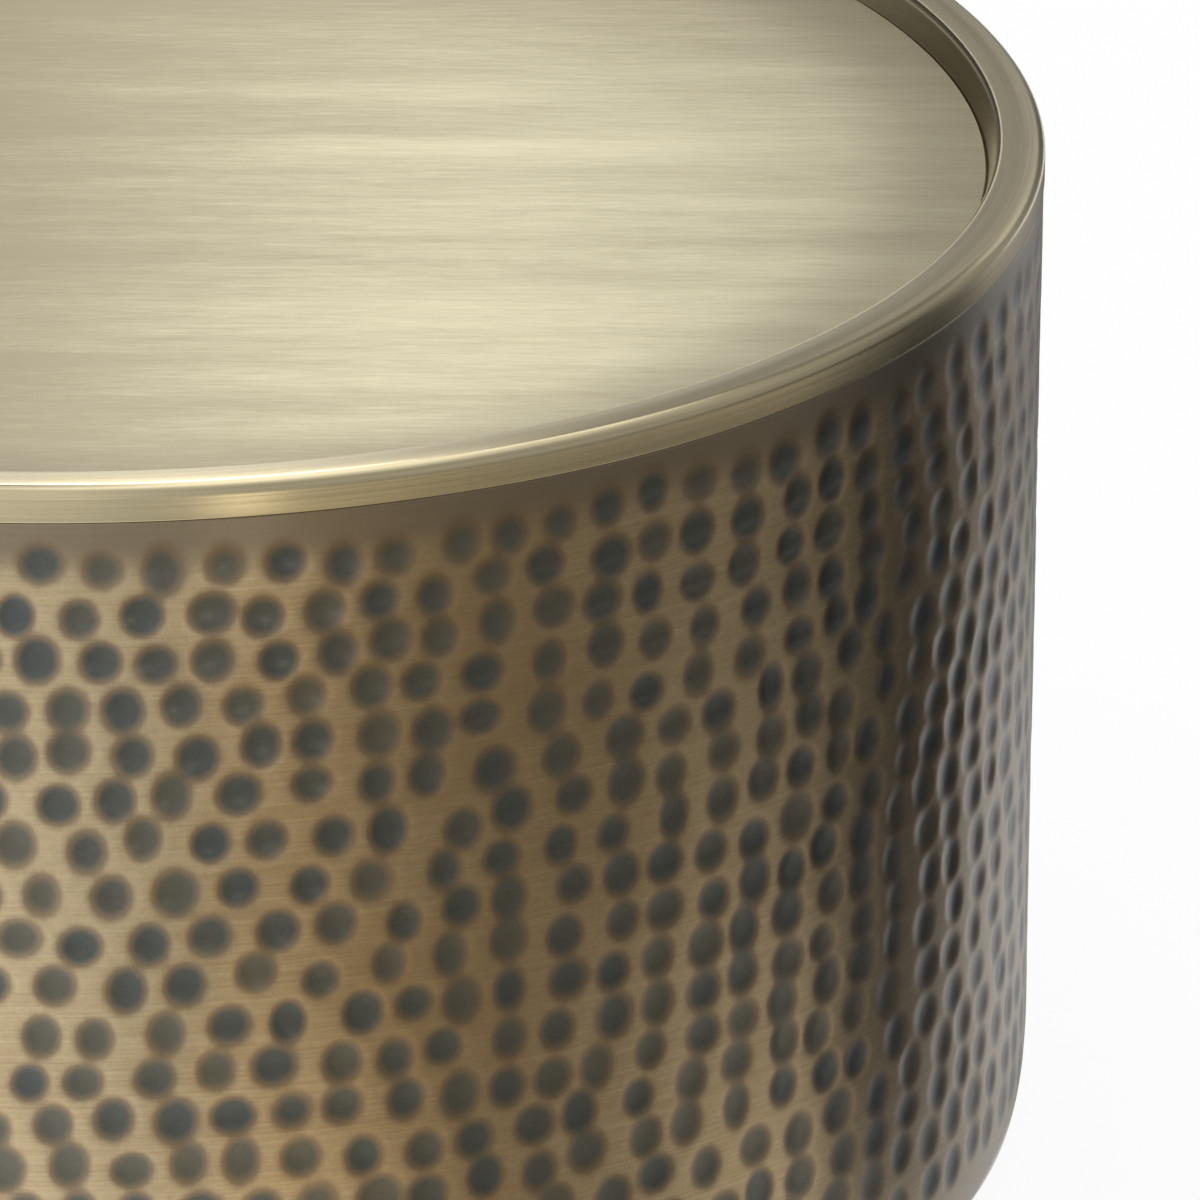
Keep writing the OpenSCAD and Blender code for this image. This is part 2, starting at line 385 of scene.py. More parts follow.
# %% How deep the sheet is struck
MARK_DEEP = 1.0 * MM
DEEPEST_SHARE = 0.98
NO_WEIGHT = 1e-6


def hammer_field(angle, down):
    """How far the sheet is struck, 0 to about 1, and the marks' tone, on a grid of down by angle.
    One mark is (1 - d^2)^2 with d the distance as a share of its reach, and marks a and b join as
    1 - (1 - a)(1 - b).
    The tone is the mean of the tones of the marks there, each counted by its depth."""
    whole = np.ones((len(down), len(angle)))
    tones = np.zeros_like(whole)
    weight = np.full_like(whole, NO_WEIGHT)
    step = ROUND_DRUM / len(angle)
    for middle_way, middle_down, wide, tall, force, tone in zip(*marks):
        rows = np.flatnonzero(np.abs(down - middle_down) < tall)
        first, last = math.ceil((middle_way - wide) / step), math.floor((middle_way + wide) / step)
        columns = np.arange(first, last + 1)
        across = (columns * step - middle_way) / wide
        along = (down[rows] - middle_down) / tall
        bowl = force * np.clip(1 - along[:, None] ** 2 - across[None, :] ** 2, 0, None) ** 2
        here = np.ix_(rows, columns % len(angle))
        whole[here] *= 1 - np.clip(bowl, 0, DEEPEST_SHARE)
        tones[here] += bowl * tone
        weight[here] += bowl
    return 1 - whole, tones / weight


print(f"half way to its edge a mark has {(1 - 0.5 ** 2) ** 2:.0%} of its depth of {1000 * MARK_DEEP} mm")

# %% [markdown]
# The drum's outline is a path again, and the whole drum is one grid of that path by the angle.
# Every point moves in by the depth of the marks there. The sheet also waves in and out by up to
# a sixth of a millimetre, because hammering stretches it. It keeps its thickness, so the marks
# stand out inside as they do on the real drum.

# %% The hammered surface
SECTORS = 8
SECTOR_COLUMNS = 176
COLUMNS = SECTORS * SECTOR_COLUMNS
DRUM_STEP = 1.7 * MM
FOOT_ANGLES = np.radians(np.arange(0, 91, 3))
SWELL = 0.08 * MM
SWELL_FADE = 12 * MM
SWELL_WAVES = ((7, 1.3, 40, 0.5), (13, 4.0, 23, 2.2))


def drum_path():
    """The drum's outline: top lip, seam bend, straight side, a quarter of an ellipse, foot lip."""
    top = rounded([(LIP_R, SEAM_Z, 0), (DRUM_R, SEAM_Z, SEAM_BEND), (DRUM_R, EDGE_Z + FOOT_RISE, 0)])
    foot = np.stack([DRUM_R - FOOT_IN * (1 - np.cos(FOOT_ANGLES)),
                     EDGE_Z + FOOT_RISE * (1 - np.sin(FOOT_ANGLES))], 1)
    lip = [(DRUM_R - FOOT_IN - FOOT_LIP, EDGE_Z)]
    return spaced(np.concatenate([top[:-1], foot, lip]), DRUM_STEP)


def drum_surface():
    """Outer and inner points (rows, columns, 3), and the struck depth and tone of each outer point.
    The sheet moves in along its normal by the struck depth, and in and out by a sum of slow waves,
    SWELL * sin(n * angle + start) * sin(m * down + begin), which fade at the seam and the foot."""
    path = drum_path()
    normal = left_normals(path)
    inward = (path[:, 0] < DRUM_R - SEAM_BEND) & (path[:, 1] > SEAM_Z - SEAM_BEND)
    length = np.concatenate([[0], np.cumsum(np.linalg.norm(np.diff(path, axis=0), axis=1))])
    down = length - length[inward].max()
    angle = np.linspace(0, 2 * np.pi, COLUMNS, endpoint=False)
    struck, tone = hammer_field(angle, down)
    fade = np.clip(down / SWELL_FADE, 0, 1)
    fade *= np.clip((path[:, 0] - DRUM_R + FOOT_IN / 2) / (FOOT_IN / 2), 0, 1)
    swell = SWELL * fade[:, None] * sum(np.sin(n * angle + start) * np.sin(m * down[:, None] + begin)
                                        for n, start, m, begin in SWELL_WAVES)
    move = (swell - MARK_DEEP * struck)[..., None]

    def turned(section):
        """The section's points carried round the axis, one column for each angle."""
        r, z = section[..., 0], section[..., 1]
        return np.stack([r * np.cos(angle), r * np.sin(angle), z], -1)

    outer = turned(path[:, None, :] + normal[:, None, :] * move)
    inner = turned(path[:, None, :] + normal[:, None, :] * (move - DRUM_T))
    return outer, inner, struck, tone


outer, inner, struck, tone = drum_surface()
print(f"{outer.shape[0]} by {outer.shape[1]} points, struck {1000 * MARK_DEEP * struck.max():.2f} mm deep")

# %% [markdown]
# The drum is too big for one mesh at this detail, so it is cut into eight sectors whose edges
# meet. The normals are worked out once for the whole drum, so no seam shows. Each sector also
# carries the struck depth and the marks' tone as attributes, which the finish reads.

# %% The drum's sectors


def surface_normals(points):
    """Unit normals of a grid that closes round the axis: the cross product of its two directions."""
    round_axis = np.roll(points, -1, axis=1) - np.roll(points, 1, axis=1)
    down_side = np.gradient(points, axis=0)
    normal = np.cross(down_side, round_axis)
    return normal / np.linalg.norm(normal, axis=-1, keepdims=True)


def set_attribute(piece, name, values):
    """Stores one number for each point, which the piece's material can read."""
    attribute = piece.data.attributes.new(name, "FLOAT", "POINT")
    attribute.data.foreach_set("value", values.astype(np.float32).ravel())


def drum_sector(number, outer, inner, outer_normals, inner_normals, struck, tone):
    """One sector: a closed loop of outer and inner rows at each column, with strips over its ends."""
    first = number * SECTOR_COLUMNS
    columns = np.arange(first, first + SECTOR_COLUMNS + 1) % COLUMNS
    rows = 2 * len(outer)
    points = np.concatenate([outer[:, columns], inner[::-1, columns]])
    normals = np.concatenate([outer_normals[:, columns], inner_normals[::-1, columns]])
    faces = grid_faces(rows, len(columns), wrap_rows=True)
    near = np.arange(len(outer) - 1)
    far = rows - 1 - near
    n = len(columns)
    start_cap = np.stack([near, far, far - 1, near + 1], 1) * n
    end_cap = start_cap[:, ::-1] + n - 1
    sector = new_object(f"drum_sector_{number + 1}", points.reshape(-1, 3), faces, start_cap, end_cap)
    sector.data.normals_split_custom_set_from_vertices(normals.reshape(-1, 3))
    add_to_table(sector, "drum_shell")
    set_attribute(sector, "struck", np.concatenate([struck[:, columns], struck[::-1, columns]]))
    set_attribute(sector, "tone", np.concatenate([tone[:, columns], tone[::-1, columns]]))
    return sector


outer_normals = surface_normals(outer)
inner_normals = -surface_normals(inner)
drum = [drum_sector(number, outer, inner, outer_normals, inner_normals, struck, tone)
        for number in range(SECTORS)]

# %% [markdown]
# A finish is a node tree. Socket wraps an output so that ordinary arithmetic adds Math nodes, and
# Finish.node adds any other node. Colours are blended with a Mix node, because Math turns them grey.

# %% Shader arithmetic


class Socket:
    """A node's output that can be added, subtracted, multiplied and divided."""

    def __init__(self, finish, output):
        self.finish = finish
        self.output = output

    def _math(self, operation, first, second):
        return self.finish.node("Math", {"operation": operation}, {0: first, 1: second})

    def __add__(self, other):
        return self._math("ADD", self, other)

    def __radd__(self, other):
        return self._math("ADD", other, self)

    def __sub__(self, other):
        return self._math("SUBTRACT", self, other)

    def __rsub__(self, other):
        return self._math("SUBTRACT", other, self)

    def __mul__(self, other):
        return self._math("MULTIPLY", self, other)

    def __rmul__(self, other):
        return self._math("MULTIPLY", other, self)

    def __truediv__(self, other):
        return self._math("DIVIDE", self, other)

    def __rtruediv__(self, other):
        return self._math("DIVIDE", other, self)


print("Socket's operators: + - * /")

# %% [markdown]
# Finish holds the tree. Its helpers are the few nodes that nearly every finish wants: a blend of
# two colours, a soft step that turns noise into a mask, and noise stretched by a Mapping node.
# A socket is called by its name, or by its number where several sockets share one name.

# %% A finish and its tree


class Finish:
    """A material and its node tree."""

    def __init__(self, name, tree=None):
        self.name = name
        self.material = None
        if tree is None:
            self.material = bpy.data.materials.new(name)
            self.material.use_nodes = True
            tree = self.material.node_tree
        self.tree = tree
        self.tree.nodes.clear()

    def node(self, kind, settings=None, inputs=None, output=0):
        """Adds a node, sets it up, fills its sockets with values or links, and returns an output."""
        made = self.tree.nodes.new("ShaderNode" + kind)
        for key, value in (settings or {}).items():
            if key == "stops":
                stops = made.color_ramp.elements
                for number, (place, shade) in enumerate(value):
                    stop = stops[number] if number < 2 else stops.new(place)
                    stop.position, stop.color = place, shade
            else:
                setattr(made, key, value)
        for key, value in (inputs or {}).items():
            if isinstance(value, Socket):
                self.tree.links.new(value.output, made.inputs[key])
            else:
                made.inputs[key].default_value = value
        return Socket(self, made.outputs[output])

    def blend(self, factor, first, second):
        """A colour between two colours. A Mix node takes colours at 6 and 7 and gives one at 2."""
        return self.node("Mix", {"data_type": "RGBA"}, {0: factor, 6: first, 7: second}, 2)

    def step(self, value, low, high):
        """0 below low, 1 above high, and smooth between them."""
        return self.node("MapRange", {"interpolation_type": "SMOOTHSTEP"},
                         {"Value": value, "From Min": low, "From Max": high, "To Min": 0.0, "To Max": 1.0})

    def noise(self, place, stretch, detail=4.0, roughness=0.6):
        """Noise around 0.5 on coordinates stretched by a factor for each axis."""
        where = self.node("Mapping", {}, {"Vector": place, "Scale": stretch})
        return self.node("TexNoise", {}, {"Vector": where, "Scale": 1.0, "Detail": detail,
                                          "Roughness": roughness})

    def place(self):
        """Object coordinates, in metres."""
        return self.node("TexCoord", {}, {}, "Object")

    def surface(self, colour, roughness, metallic=0.0, bump=None, fixed=None):
        """Ends the tree in a Principled shader. fixed holds numbers for its other sockets."""
        inputs = {"Base Color": colour, "Roughness": roughness, "Metallic": metallic, **(fixed or {})}
        if bump is not None:
            inputs["Normal"] = bump
        self.end(self.node("BsdfPrincipled", {}, inputs))
        return self.material

    def end(self, shader, kind="OutputMaterial"):
        """Links a shader to the tree's output."""
        output = self.tree.nodes.new("ShaderNode" + kind)
        self.tree.links.new(shader.output, output.inputs[0])
        print(f"{self.name}: a tree of {len(self.tree.nodes)} nodes")


# %% [markdown]
# Two more helpers: colours are written as three numbers in linear light, and a finish is put on
# pieces in place of any that they had.

# %% Colours, and putting a finish on


def rgb(red, green, blue):
    """A colour as nodes take it, in linear light."""
    return (red, green, blue, 1.0)


def dress(pieces, material):
    """Gives each piece that one material."""
    for piece in pieces:
        piece.data.materials.clear()
        piece.data.materials.append(material)
    print(f"{material.name}: on {len(pieces)} pieces")


# %% [markdown]
# The tray was brushed back and forth along one line, so its marks run parallel to X. Long thin
# noise, stretched a dozen times along X, gives the scratches, and a wider one the soft bands
# where the brush was pressed harder. A paler oval beside the centre is a painted highlight, and
# the ring by the rim's wall is darkened as painted shade.
# The finish spreads light across the scratches: that is the shader's anisotropy, and the mesh's
# texture space, set far away, gives it one straight direction.

# %% The brushed tray
FAR_AWAY = 1000.0
PALE_BRASS = rgb(0.64, 0.59, 0.415)
DULL_BRASS = rgb(0.37, 0.325, 0.22)
# The corner colour and its reach paint shade along the rim's wall, and the oval's place and shape paint a
# highlight.
CORNER_SHADE_BRASS = rgb(0.22, 0.19, 0.13)
HIGHLIGHT_PLACE = np.array([0.21, -0.10, 0.0])
HIGHLIGHT_SHAPE = np.array([1.25, 0.75, 0.0])
CORNER_SHADE_REACH = (62 * MM, 12 * MM)


def brushed_tray():
    """Pale brass, dulled by scratches, soft bands and the distance from a painted highlight's middle,
    and darkened as painted shade from the first to the second reach inside the rim's wall."""
    finish = Finish("brushed_tray")
    place = finish.place()
    scratches = finish.noise(place, (45.0, 640.0, 1.0), 5.0, 0.8)
    bands = finish.noise(place, (3.0, 30.0, 1.0), 4.0, 0.6)
    clouds = finish.noise(place, (2.2, 7.0, 1.0), 3.0, 0.55)
    # The paler oval beside the centre is a painted highlight, where the tray mirrors the brightest light.
    oval = finish.node("Mapping", {}, {"Vector": place, "Location": -HIGHLIGHT_PLACE * HIGHLIGHT_SHAPE,
                                       "Scale": HIGHLIGHT_SHAPE})
    away = finish.node("VectorMath", {"operation": "LENGTH"}, {0: oval}, "Value")
    spread = finish.step(away, 0.05, 0.36)
    dull = finish.step(0.38 * bands + 0.36 * scratches + 0.12 * clouds + 0.22 * spread, 0.29, 0.67)
    flat = finish.node("VectorMath", {"operation": "MULTIPLY"}, {0: place, 1: (1.0, 1.0, 0.0)})
    radius = finish.node("VectorMath", {"operation": "LENGTH"}, {0: flat}, "Value")
    # The darker ring along the rim's wall is painted shade.
    corner = finish.step(radius, TRAY_R - CORNER_SHADE_REACH[0], TRAY_R - CORNER_SHADE_REACH[1])
    colour = finish.blend(0.5 * corner, finish.blend(dull, PALE_BRASS, DULL_BRASS), CORNER_SHADE_BRASS)
    bump = finish.node("Bump", {}, {"Strength": 0.12, "Distance": 0.0002, "Height": scratches})
    return finish.surface(colour, 0.34 + 0.14 * scratches, 1.0, bump,
                          {"Anisotropic": 0.75, "Anisotropic Rotation": 0.25})


tray.data.use_auto_texspace = False
tray.data.texspace_location = (0.0, -FAR_AWAY, 0.0)
tray.data.texspace_size = (1.0, 1.0, 1.0)
dress([tray], brushed_tray())

# %% [markdown]
# The rim was brushed while it turned, so its scratches are circles. Noise that reads the distance
# from the axis and the height at a fine scale, and the direction from the axis at a coarse one,
# follows them all the way round with no seam.

# %% The spun rim


def around(finish, fine, coarse):
    """Coordinates for scratches round the axis: (x / r * coarse, y / r * coarse, (r + 2z) * fine)."""
    x, y, z = [finish.node("SeparateXYZ", {}, {"Vector": finish.place()}, axis) for axis in "XYZ"]
    r = finish.node("Math", {"operation": "SQRT"}, {0: x * x + y * y})
    return finish.node("CombineXYZ", {}, {"X": x / r * coarse, "Y": y / r * coarse,
                                          "Z": (r + 2.0 * z) * fine})


RIM_BRASS = rgb(0.63, 0.55, 0.36)
RIM_DULL = rgb(0.50, 0.43, 0.27)


def spun_rim():
    """Two near shades of brass, mixed by fine scratches and wider rings round the axis."""
    finish = Finish("spun_rim")
    scratches = finish.noise(around(finish, 1400.0, 2.5), (1.0, 1.0, 1.0), 4.0, 0.7)
    rings = finish.noise(around(finish, 180.0, 1.2), (1.0, 1.0, 1.0), 3.0, 0.6)
    dull = finish.step(0.5 * rings + 0.5 * scratches, 0.38, 0.68)
    colour = finish.blend(dull, RIM_BRASS, RIM_DULL)
    bump = finish.node("Bump", {}, {"Strength": 0.06, "Distance": 0.0002, "Height": scratches})
    return finish.surface(colour, 0.16 + 0.12 * scratches, 1.0, bump,
                          {"Anisotropic": 0.6, "Anisotropic Rotation": 0.25})


dress([rim], spun_rim())

# %% [markdown]
# The drum's antique finish is a dark patina, rubbed off again with a scouring brush. The brush
# rode over the marks, so the patina stays in them: blue-grey in the deepest part, browner at the
# edge. The web between them shows warm brass with fine brush lines round the drum. A ramp across
# the drum keeps the web pale at the front, darkens it a little to the right and lightens it again
# towards the side: partly uneven scouring, partly painted light and shade. Clouds and brush lines
# break up its edges. The band under the seam is darker: patina left there, with painted shade under the
# rim.

# %% The hammered drum's finish
RUBBED_BRASS = rgb(0.33, 0.228, 0.112)
LIGHT_BRASS = rgb(0.75, 0.620, 0.385)
BROWN_EDGE = rgb(0.22, 0.146, 0.078)
# The colour of the band under the seam: patina left there, with painted shade under the rim.
SHADED_BAND_BROWN = rgb(0.20, 0.160, 0.105)
BLUE_PATINA = rgb(0.068, 0.080, 0.075)
GREEN_PATINA = rgb(0.118, 0.111, 0.079)
SHADED_BAND_REACH = (26 * MM, 7 * MM)
RUB_WIDTH = 0.4
# The ramp across the drum is partly uneven scouring and partly painted light and shade on the web.
RUB_AND_LIGHT_RAMP = ((0.10, 0.50), (0.34, 0.02), (0.44, 0.02), (0.62, 0.33), (0.90, 0.24))


def hammered_drum():
    """Patina in the marks, a brown edge round them and rubbed brass on the web between them, made
    paler and darker across the drum partly as painted light and shade, and darker under the seam
    partly as painted shade. Each mask is a soft step on the struck depth or the height, with noise
    added to make it ragged."""
    finish = Finish("hammered_drum")
    place = finish.place()
    struck = finish.node("Attribute", {"attribute_name": "struck"}, {}, "Fac")
    tone = finish.node("Attribute", {"attribute_name": "tone"}, {}, "Fac")
    across, height = [finish.node("SeparateXYZ", {}, {"Vector": place}, axis) for axis in "XZ"]
    brushing = finish.noise(place, (9.0, 9.0, 900.0), 5.0, 0.75)
    clouds = finish.noise(place, (14.0, 14.0, 14.0), 3.0, 0.6)
    ragged = finish.noise(place, (210.0, 210.0, 210.0), 3.0, 0.6)
    grain = finish.noise(place, (700.0, 700.0, 700.0), 3.0, 0.7)
    worn = struck + 0.16 * ragged + 0.08 * brushing - 0.12
    edge = finish.step(worn + 0.3 * clouds, 0.10, 0.44)
    deep = finish.step(worn, 0.08, 0.68)
    # This ramp across X paints light and shade on the web, besides uneven scouring.
    rub_and_light_ramp = finish.node("ValToRGB", {"stops": [(at, rgb(much, much, much)) for at, much in RUB_AND_LIGHT_RAMP]},
                          {"Fac": across / RUB_WIDTH})
    rubbed = finish.step(0.3 * brushing + 0.3 * clouds + 0.1 * grain + 0.3 * rub_and_light_ramp, 0.265, 0.725)
    web = finish.blend(rubbed, RUBBED_BRASS, LIGHT_BRASS)
    # Darker band under the seam: patina left there, partly painted shade under the rim.
    shaded_band = finish.step(height + 0.020 * clouds - 0.010,
                           SEAM_Z - SHADED_BAND_REACH[0], SEAM_Z - SHADED_BAND_REACH[1])
    web = finish.blend(0.85 * shaded_band, web, SHADED_BAND_BROWN)
    patina = finish.blend(finish.step(0.5 * tone + 0.5 * grain, 0.25, 0.75), BLUE_PATINA, GREEN_PATINA)
    colour = finish.blend(deep, finish.blend(edge * 0.8, web, BROWN_EDGE), patina)
    bump = finish.node("Bump", {}, {"Strength": 0.10, "Distance": 0.0002, "Height": brushing})
    return finish.surface(colour, 0.30 + 0.08 * brushing + 0.12 * deep, 1.0, bump,
                          {"Anisotropic": 0.5, "Anisotropic Rotation": 0.25, "Coat Weight": 1.0,
                           "Coat Roughness": 0.22})


for sector in drum:
    sector.data.use_auto_texspace = False
    sector.data.texspace_location = (0.0, 0.0, SEAM_Z / 2)
    sector.data.texspace_size = (DRUM_R, DRUM_R, SEAM_Z / 2)
dress(drum, hammered_drum())

# %% [markdown]
# The frame inside keeps its CAD shapes and shows only from below. Its steel is painted black and
# the board under the tray is raw fibreboard.

# %% The steel and the board


def black_paint():
    """Half-gloss black with the orange-peel skin of spray paint and a few grey scuffs."""
    finish = Finish("black_paint")
    orange_peel = finish.noise(finish.place(), (350.0, 350.0, 350.0), 2.0)
    scuffs = finish.noise(finish.place(), (30.0, 30.0, 8.0), 5.0, 0.7)
    colour = finish.blend(finish.step(scuffs, 0.55, 0.75), rgb(0.018, 0.018, 0.019),
                          rgb(0.05, 0.048, 0.045))
    bump = finish.node("Bump", {}, {"Strength": 0.25, "Distance": 0.0003, "Height": orange_peel})
    return finish.surface(colour, 0.42 + 0.2 * scuffs, 0.0, bump)


def fibreboard():
    """Fine brown fibres, lighter and darker in soft clouds."""
    finish = Finish("fibreboard")
    fibres = finish.noise(finish.place(), (900.0, 500.0, 500.0), 5.0, 0.7)
    clouds = finish.noise(finish.place(), (12.0, 12.0, 12.0), 3.0)
    colour = finish.blend(0.5 * fibres + 0.5 * clouds, rgb(0.30, 0.19, 0.10), rgb(0.52, 0.38, 0.23))
    bump = finish.node("Bump", {}, {"Strength": 0.3, "Distance": 0.0002, "Height": fibres})
    return finish.surface(colour, 0.75 + 0.1 * fibres, 0.0, bump)


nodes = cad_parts
dress([nodes[name] for name in nodes if name.startswith("upright") or name.endswith("hoop")], black_paint())
dress([nodes["backing_board"]], fibreboard())

# %% [markdown]
# The glides that the table stands on are moulded plastic, and all the screws are zinc plated.

# %% The glides and the screws


def moulded_plastic():
    """Near-black plastic with a fine moulded grain."""
    finish = Finish("moulded_plastic")
    grain = finish.noise(finish.place(), (1200.0, 1200.0, 1200.0), 2.0)
    colour = finish.blend(grain, rgb(0.02, 0.02, 0.022), rgb(0.035, 0.035, 0.037))
    bump = finish.node("Bump", {}, {"Strength": 0.2, "Distance": 0.0001, "Height": grain})
    return finish.surface(colour, 0.5 + 0.15 * grain, 0.0, bump)


def zinc_plate():
    """Bright blue-white metal with a faint spangle."""
    finish = Finish("zinc_plate")
    spangle = finish.noise(finish.place(), (700.0, 700.0, 700.0), 3.0)
    colour = finish.blend(spangle, rgb(0.52, 0.54, 0.57), rgb(0.70, 0.71, 0.72))
    return finish.surface(colour, 0.25 + 0.2 * spangle, 1.0)


dress([nodes[name] for name in nodes if name.startswith("floor_glide")], moulded_plastic())
dress([nodes["board_screws"], nodes["glide_screws"]], zinc_plate())

# %% [markdown]
# The table stands on a white studio floor. The floor is white to the camera and in reflections,
# with a share of real light in it, so that the table's soft shadow stays. Light Path tells what
# kind of ray meets the floor, and the material answers pictures and mirrors with plain white.

# %% The floor and the world
FLOOR_R = 9.0
FLOOR_STEPS = 64
FLOOR_GLOW = 0.92


def seen_directly(finish):
    """1 for rays from the camera, for reflected rays and for refracted ones, and 0 for others."""
    camera_ray, glossy_ray, refracted_ray = [
        finish.node("LightPath", {}, {}, ray)
        for ray in ("Is Camera Ray", "Is Glossy Ray", "Is Transmission Ray")]
    first = finish.node("Math", {"operation": "MAXIMUM"}, {0: camera_ray, 1: glossy_ray})
    return finish.node("Math", {"operation": "MAXIMUM"}, {0: first, 1: refracted_ray})


def studio_floor():
    """Matt white, mixed with plain white wherever a picture or a mirror sees it."""
    finish = Finish("studio_floor")
    paint = finish.node("BsdfDiffuse", {}, {"Color": rgb(0.85, 0.85, 0.85)})
    glow = finish.node("Emission", {}, {"Color": rgb(1.0, 1.0, 1.0), "Strength": 1.0})
    finish.end(finish.node("MixShader", {}, {0: FLOOR_GLOW * seen_directly(finish), 1: paint, 2: glow}))
    return finish.material


turn = np.linspace(0, 2 * np.pi, FLOOR_STEPS, endpoint=False)
edge = FLOOR_R * np.stack([np.cos(turn), np.sin(turn), 0 * turn], 1)
floor = new_object("floor", edge, np.arange(len(turn))[None, :])
floor.data.materials.append(studio_floor())

world = bpy.data.worlds.new("studio")
world.use_nodes = True
bpy.context.scene.world = world
sky = Finish("studio", world.node_tree)
sky_light = sky.node("Background", {}, {"Color": rgb(1.0, 1.0, 1.0), "Strength": 1.0})
sky.end(sky_light, "OutputWorld")

# %% [markdown]
# Metal shows what stands round it. As in a photographer's studio, cards lie and stand round the
# table, out of the picture, and give it darks and lights to reflect beside the white room.
# The point of the drum at way w, counted in degrees from the camera's side towards the picture's
# right, mirrors the direction 2w. So a card is laid out along those mirrored lines, and its
# shade at way w is what the drum shows there. The camera looks down by 20 degrees: so the drum's
# side mirrors the floor, from near its foot to a metre away below the seam, and the tray mirrors
# the wall behind it, from one to two metres up.

# %% A card
CARD_COLUMNS = 96
WARM = np.array([0.0, 0.12, 0.32])


def card(name, ways, places, shades, warmth=0.0):
    """A strip with a row for each place, (distance along the mirrored line, height), and a shade
    for each row and way. The point at way w and distance d is DRUM_R * (sin w, -cos w) +
    d * (sin 2w, -cos 2w). Its colour is shade * (1 - warmth * WARM), so warmth takes blue away."""
    way = np.linspace(ways[0], ways[-1], CARD_COLUMNS)
    away, height = np.array(places).T[:, :, None]
    turn = np.radians(way)
    points = np.stack([DRUM_R * np.sin(turn) + away * np.sin(2 * turn),
                       -DRUM_R * np.cos(turn) - away * np.cos(2 * turn), height + 0 * turn], -1)
    shade = np.stack([np.interp(way, ways, row) for row in shades])
    glow = 1 - np.interp(way, ways, warmth + 0 * np.array(ways))[:, None] * WARM
    colour = np.concatenate([shade[..., None] * glow, np.ones(shade.shape + (1,))], -1)
    made = new_object(name, points.reshape(-1, 3), grid_faces(len(places), len(way)))
    paint = made.data.attributes.new("shade", "FLOAT_COLOR", "POINT")
    paint.data.foreach_set("color", colour.astype(np.float32).ravel())
    finish = Finish(name)
    paint_colour = finish.node("Attribute", {"attribute_name": "shade"})
    finish.end(finish.node("Emission", {}, {"Color": paint_colour, "Strength": 1.0}))
    made.data.materials.append(finish.material)
    made.visible_camera = made.visible_transmission = False
    made.visible_diffuse = made.visible_shadow = False
    print(f"{name}: {shade.min():.2f} to {shade.max():.2f} of white")
    return made


# %% [markdown]
# The floor card makes the drum's broad tones: warm and light at the left, a dark gap at way 60,
# a cool grey beyond it. Its first row lies under the foot, its last is what the rim's skirt shows.
# A small bright piece on it gives the skirt its one clear streak.

# %% The cards on the floor
FLOOR_GAP = 2 * MM
FLOOR_WAYS = (-10, 5, 9, 13, 18, 25, 36, 48, 53, 60, 65, 70, 78, 90)
FLOOR_AWAY = (-0.03, 0.2, 0.5, 0.85, 1.3)
FLOOR_SHADES = ((1.5, 1.2, 1.15, 1.25, 1.1, 0.55, 0.44, 0.86, 0.60, 0.55, 0.45, 0.45, 0.38, 0.25),
                (1.5, 1.0, 1.00, 1.15, 1.1, 0.50, 0.46, 0.82, 0.15, 0.08, 0.33, 0.55, 0.55, 0.25),
                (1.2, 0.5, 0.20, 0.50, 0.35, 0.35, 0.33, 0.40, 0.20, 0.00, 0.03, 0.60, 0.48, 0.18),
                (0.9, 0.6, 0.50, 0.50, 0.50, 0.22, 0.05, 0.03, 0.00, 0.00, 0.02, 0.12, 0.22, 0.06),
                (0.5, 0.6, 1.00, 1.30, 1.1, 0.95, 0.95, 1.05, 0.60, 0.18, 0.20, 0.80, 0.40, 0.00))
FLOOR_WARMTH = np.array((0.1, 0.2, 0.4, 0.9, 1.0, 0.9, 0.6, 0.6, 0.2, 0.0, 0.0, 0.0, 0.0, 0.4))
card("floor_card", FLOOR_WAYS, [(away, FLOOR_GAP) for away in FLOOR_AWAY], FLOOR_SHADES, FLOOR_WARMTH)

STREAK_WAYS = (9, 11, 12, 14)
STREAK_AWAY = (0.97, 1.35)
STREAK_SHADES = ((1.0, 3.4, 3.4, 1.3),) * 2
STREAK_WARMTH = 0.8
card("streak_card", STREAK_WAYS, [(away, 2 * FLOOR_GAP) for away in STREAK_AWAY], STREAK_SHADES,
     STREAK_WARMTH)

# %% [markdown]
# The side card and the wall card stand. The tray shows the wall's middle height, and the rim's
# bent shoulder shows its top: the bright panel there is the thin line of light on the rim. The
# side card's low part is dark, which the drum shows, and it lightens with height for the rim.

# %% The standing cards
SIDE_AWAY = 1.3
SIDE_WAYS = (4, 10, 16, 36, 48, 57, 65, 70)
SIDE_HEIGHTS = (0.0, 0.45, 2.4)
SIDE_SHADES = ((0.6, 0.5, 0.2, 0.1, 0.0, 0.0, 0.3, 0.4),
               (0.8, 0.6, 0.5, 0.4, 0.35, 0.15, 0.4, 0.4),
               (0.7, 0.7, 0.6, 0.5, 0.6, 0.7, 0.5, 0.3))
card("side_card", SIDE_WAYS, [(SIDE_AWAY, height) for height in SIDE_HEIGHTS], SIDE_SHADES)

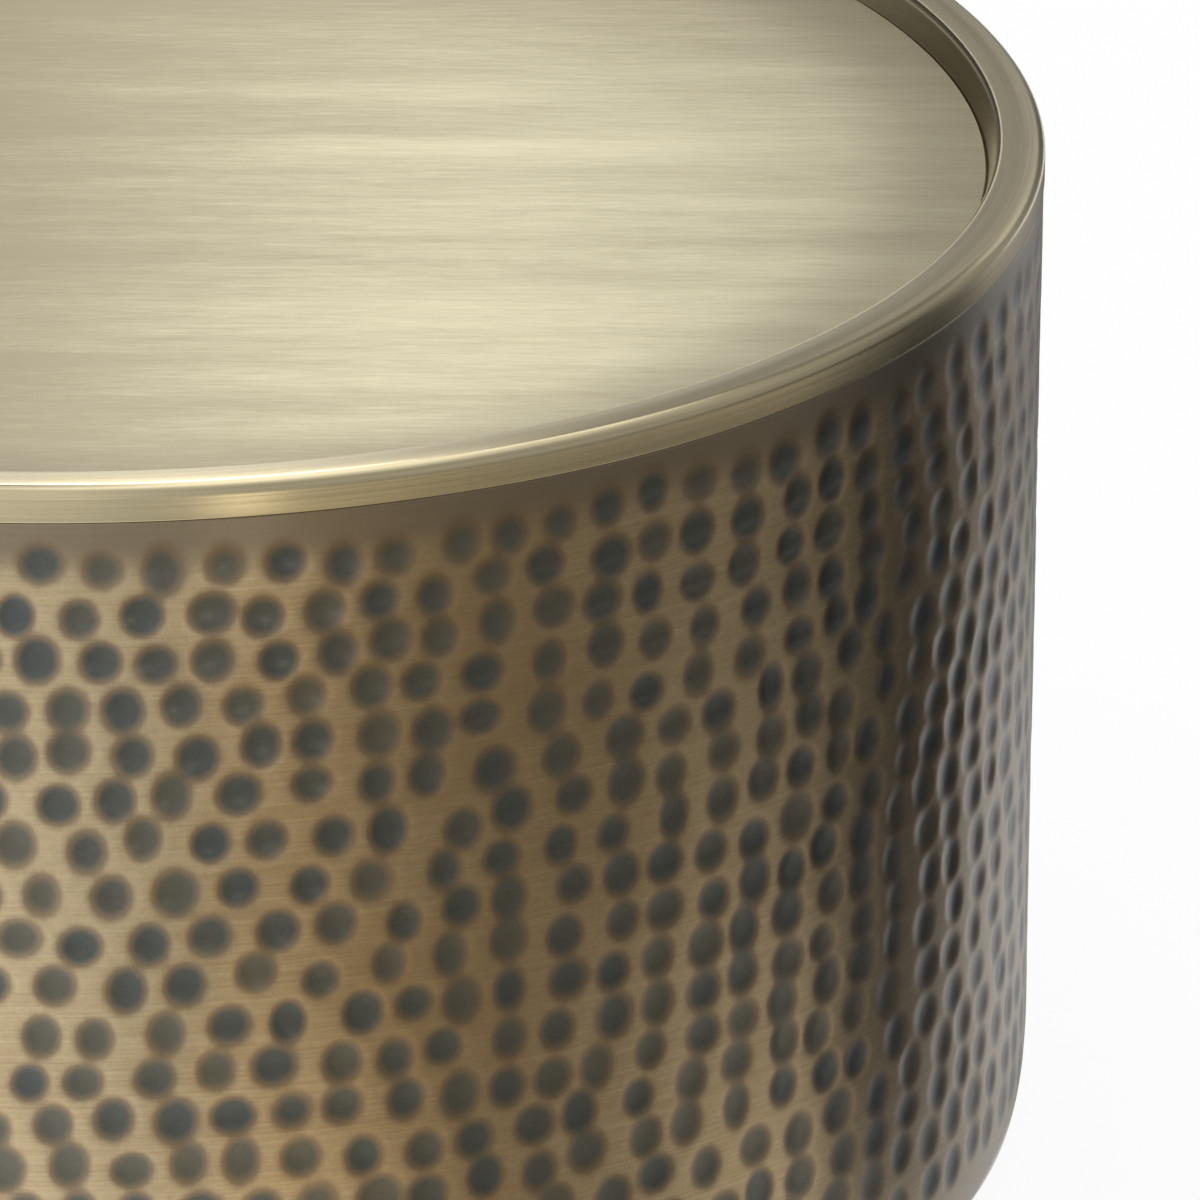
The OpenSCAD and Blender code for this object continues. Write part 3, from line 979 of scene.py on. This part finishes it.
WALL_AWAY = 2.4
WALL_WAYS = (70, 80, 86, 88.6, 89.6, 91.2, 92.6, 93.2, 94.6, 96, 97, 108, 118, 155)
WALL_HEIGHTS = (0.0, 0.8, 1.0, 1.5, 1.8, 2.1, 2.3, 3.4)
WALL_LOW = (0.3, 0.1, 0.35, 0.2, 0.9, 2.2, 1.0, 0.4, 0.3, 0.1, 0.1, 0.3, 0.5, 0.1)
WALL_MIDDLE = (0.9, 0.6, 0.50, 0.4, 0.2, 0.4, 0.4, 1.4, 1.4, 0.3, 0.0, 0.1, 0.2, 0.0)
WALL_UPPER = (0.2, 0.3, 0.50, 0.3, 0.2, 0.1, 0.3, 1.0, 1.4, 0.4, 0.0, 0.1, 0.1, 0.0)
WALL_HIGH = (0.2, 0.3, 0.60, 0.3, 0.4, 1.0, 1.5, 2.0, 1.6, 0.5, 0.0, 0.1, 0.0, 0.0)
WALL_TOP = (0.2, 0.3, 0.10, 0.1, 1.3, 2.4, 2.6, 2.4, 1.6, 0.3, 0.0, 0.1, 0.1, 0.1)
card("wall_card", WALL_WAYS, [(WALL_AWAY, height) for height in WALL_HEIGHTS],
     (WALL_LOW, WALL_LOW, WALL_MIDDLE, WALL_MIDDLE, WALL_UPPER, WALL_HIGH, WALL_TOP, WALL_TOP))

# %% [markdown]
# The ceiling card runs from the wall's top over the table. It is bright, so that the rim's bends
# have something to shine with, and dark only where it meets the wall beyond way 96.

# %% The ceiling card
CEILING_WAYS = (70, 95.5, 96.5, 155)
CEILING_PLACES = ((WALL_AWAY, 3.4), (0.8, 3.27), (0.2, 3.2), (-1.0, 3.1))
CEILING = 1.8
CEILING_SHADES = ((CEILING, CEILING, 0.1, 0.1), (CEILING, CEILING, 0.2, 0.2),
                  (CEILING,) * 4, (CEILING,) * 4)
card("ceiling_card", CEILING_WAYS, CEILING_PLACES, CEILING_SHADES)

# %% [markdown]
# Two soft panels light the table. The steep one behind it gives the rim its shine, and the one
# overhead only lights the matt pieces.

# %% The lamps


def soft_panel(name, place, target, width, height, power):
    """A rectangular area lamp at place that faces target."""
    light = bpy.data.lights.new(name, "AREA")
    light.shape = "RECTANGLE"
    light.size, light.size_y = width, height
    light.energy = power
    lamp = bpy.data.objects.new(name, light)
    bpy.context.scene.collection.objects.link(lamp)
    lamp.location = place
    lamp.rotation_mode = "QUATERNION"
    lamp.rotation_quaternion = (Vector(target) - Vector(place)).to_track_quat("-Z", "Y")
    lamp.visible_camera = False
    print(f"{name}: {power} W, {(Vector(place) - Vector(target)).length:.2f} m away")
    return lamp


soft_panel("steep_panel", (0.1, 1.5, 2.3), (0.1, 0.0, 0.39), width=0.5, height=0.4, power=4.0)
fill = soft_panel("overhead_panel", (-0.4, -0.3, 2.4), (0.0, 0.0, 0.4), width=1.4, height=1.4, power=6.0)
fill.visible_glossy = False
